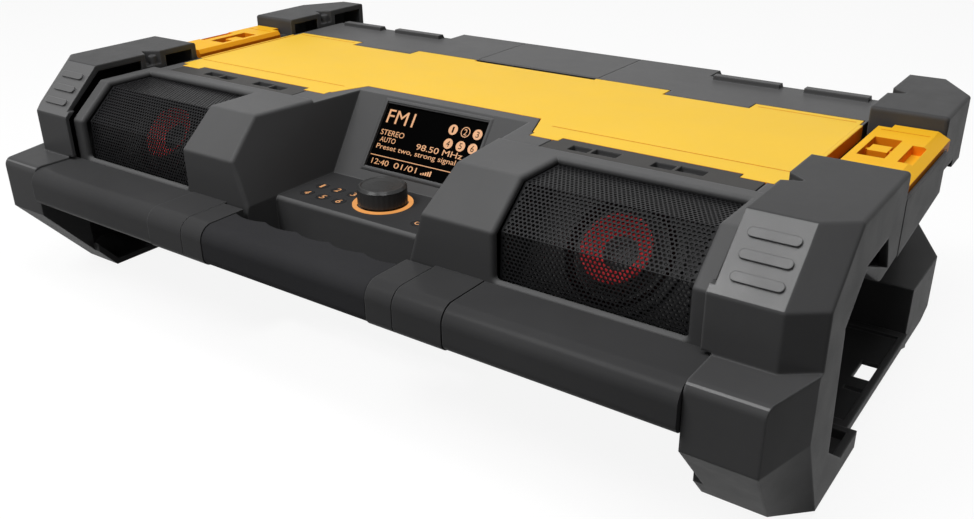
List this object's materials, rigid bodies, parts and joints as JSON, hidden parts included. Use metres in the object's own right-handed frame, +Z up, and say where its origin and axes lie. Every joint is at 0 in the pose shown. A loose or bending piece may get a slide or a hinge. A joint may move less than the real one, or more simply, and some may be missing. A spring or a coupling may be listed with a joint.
{
  "type": "jobsite radio",
  "caption": "Low stackable jobsite radio with corner bumpers, front carry bar, two mesh-covered speakers, sunken control console, hinged storage lid and side latches.",
  "frame": {"origin": "bottom centre of the whole radio, on the surface it stands on", "axes": "+X to the right seen from the front, -Y towards the front bar, +Z up"},
  "size_m": [0.554, 0.3794, 0.1455],
  "materials": {
    "deck_black": "fine moulded texture, charcoal",
    "shell_black": "fine moulded texture, black",
    "bumper_black": "matte moulded bumper, charcoal",
    "bar_black": "satin moulded plastic",
    "grip_rubber": "soft over-moulded rubber",
    "foot_rubber": "matte rubber",
    "lid_yellow": "satin yellow moulded plastic",
    "latch_yellow": "satin amber moulded plastic",
    "core_steel": "zinc plated tube",
    "pin_steel": "plain steel",
    "mesh_steel": "black powder coated perforated sheet",
    "basket_steel": "black pressed steel",
    "cone_paper": "coated cone",
    "surround_red": "red rubber surround",
    "lens_clear": "tinted clear window",
    "display_black": "black display glass",
    "board_green": "printed circuit board",
    "switch_black": "moulded switch body",
    "ring_amber": "translucent amber light guide",
    "knob_black": "satin black",
    "button_black": "matte black with amber legend",
    "gasket_black": "foam rubber",
    "tray_black": "matte moulded plastic",
    "terminal_brass": "plated contacts in a block",
    "supply_grey": "potted supply",
    "inlet_black": "moulded inlet"
  },
  "bodies": {
    "case": {"bar_bracket_left": "bar_black", "bar_bracket_right": "bar_black", "bar_collar_left": "bar_black", "bar_collar_right": "bar_black", "bar_core": "core_steel", "bar_grip": "grip_rubber", "bar_sleeve_left": "bar_black", "bar_sleeve_right": "bar_black", "battery_terminals": "terminal_brass", "battery_tray": "tray_black", "bumper_front_left": "bumper_black", "bumper_front_right": "bumper_black", "bumper_rear_left": "bumper_black", "bumper_rear_right": "bumper_black", "case_screws": "pin_steel", "control_board": "board_green", "display_lens": "lens_clear", "display_module": "display_black", "driver_cone_left": "cone_paper", "driver_cone_right": "cone_paper", "driver_frame_left": "basket_steel", "driver_frame_right": "basket_steel", "driver_surround_left": "surround_red", "driver_surround_right": "surround_red", "encoder": "pin_steel", "foot_pads": "foot_rubber", "grille_left": "mesh_steel", "grille_right": "mesh_steel", "hinge_pins": "pin_steel", "lid_gasket": "gasket_black", "light_ring": "ring_amber", "lower_shell": "shell_black", "main_board": "board_green", "mains_inlet": "inlet_black", "media_ports": "inlet_black", "power_supply": "supply_grey", "side_handle_left": "bumper_black", "side_handle_right": "bumper_black", "side_rail_left": "bumper_black", "side_rail_right": "bumper_black", "speaker_box_left": "tray_black", "speaker_box_right": "tray_black", "storage_tray": "tray_black", "switch_set": "switch_black", "upper_deck": "deck_black"},
    "media_lid": {"media_lid": "lid_yellow"},
    "battery_cover": {"battery_cover": "deck_black"},
    "volume_knob": {"volume_knob": "knob_black"},
    "latch_right": {"latch_right": "latch_yellow"},
    "latch_left": {"latch_left": "latch_yellow"},
    "preset_button_1": {"preset_button_1": "button_black"},
    "preset_button_2": {"preset_button_2": "button_black"},
    "preset_button_3": {"preset_button_3": "button_black"},
    "preset_button_4": {"preset_button_4": "button_black"},
    "preset_button_5": {"preset_button_5": "button_black"},
    "preset_button_6": {"preset_button_6": "button_black"},
    "power_button": {"power_button": "button_black"},
    "source_button": {"source_button": "button_black"},
    "menu_button": {"menu_button": "button_black"},
    "play_button": {"play_button": "button_black"}
  },
  "joints": [
    {"name": "lid_hinge", "type": "hinge", "parent": "case", "child": "media_lid", "pos_m": [0, 0.056, 0.1298], "axis": [-1, 0, 0], "range_deg": [0, 90]},
    {"name": "cover_hinge", "type": "hinge", "parent": "case", "child": "battery_cover", "pos_m": [0, 0.0695, 0.129], "axis": [1, 0, 0], "range_deg": [0, 80]},
    {"name": "latch_right_hinge", "type": "hinge", "parent": "case", "child": "latch_right", "pos_m": [0.24, 0, 0.1285], "axis": [0, -1, 0], "range_deg": [0, 95]},
    {"name": "latch_left_hinge", "type": "hinge", "parent": "case", "child": "latch_left", "pos_m": [-0.24, 0, 0.1285], "axis": [0, 1, 0], "range_deg": [0, 95]},
    {"name": "knob_turn", "type": "hinge", "parent": "case", "child": "volume_knob", "pos_m": [0, -0.1035, 0.089], "axis": [0, 0, 1], "continuous": true},
    {"name": "preset_button_1_press", "type": "slide", "parent": "case", "child": "preset_button_1", "axis": [0, 0, -1], "range_m": [0, 0.001], "stiffness_N_per_m": 800},
    {"name": "preset_button_2_press", "type": "slide", "parent": "case", "child": "preset_button_2", "axis": [0, 0, -1], "range_m": [0, 0.001], "stiffness_N_per_m": 800},
    {"name": "preset_button_3_press", "type": "slide", "parent": "case", "child": "preset_button_3", "axis": [0, 0, -1], "range_m": [0, 0.001], "stiffness_N_per_m": 800},
    {"name": "preset_button_4_press", "type": "slide", "parent": "case", "child": "preset_button_4", "axis": [0, 0, -1], "range_m": [0, 0.001], "stiffness_N_per_m": 800},
    {"name": "preset_button_5_press", "type": "slide", "parent": "case", "child": "preset_button_5", "axis": [0, 0, -1], "range_m": [0, 0.001], "stiffness_N_per_m": 800},
    {"name": "preset_button_6_press", "type": "slide", "parent": "case", "child": "preset_button_6", "axis": [0, 0, -1], "range_m": [0, 0.001], "stiffness_N_per_m": 800},
    {"name": "power_button_press", "type": "slide", "parent": "case", "child": "power_button", "axis": [0, 0, -1], "range_m": [0, 0.001], "stiffness_N_per_m": 800},
    {"name": "source_button_press", "type": "slide", "parent": "case", "child": "source_button", "axis": [0, 0, -1], "range_m": [0, 0.001], "stiffness_N_per_m": 800},
    {"name": "menu_button_press", "type": "slide", "parent": "case", "child": "menu_button", "axis": [0, 0, -1], "range_m": [0, 0.001], "stiffness_N_per_m": 800},
    {"name": "play_button_press", "type": "slide", "parent": "case", "child": "play_button", "axis": [0, 0, -1], "range_m": [0, 0.001], "stiffness_N_per_m": 800}
  ]
}
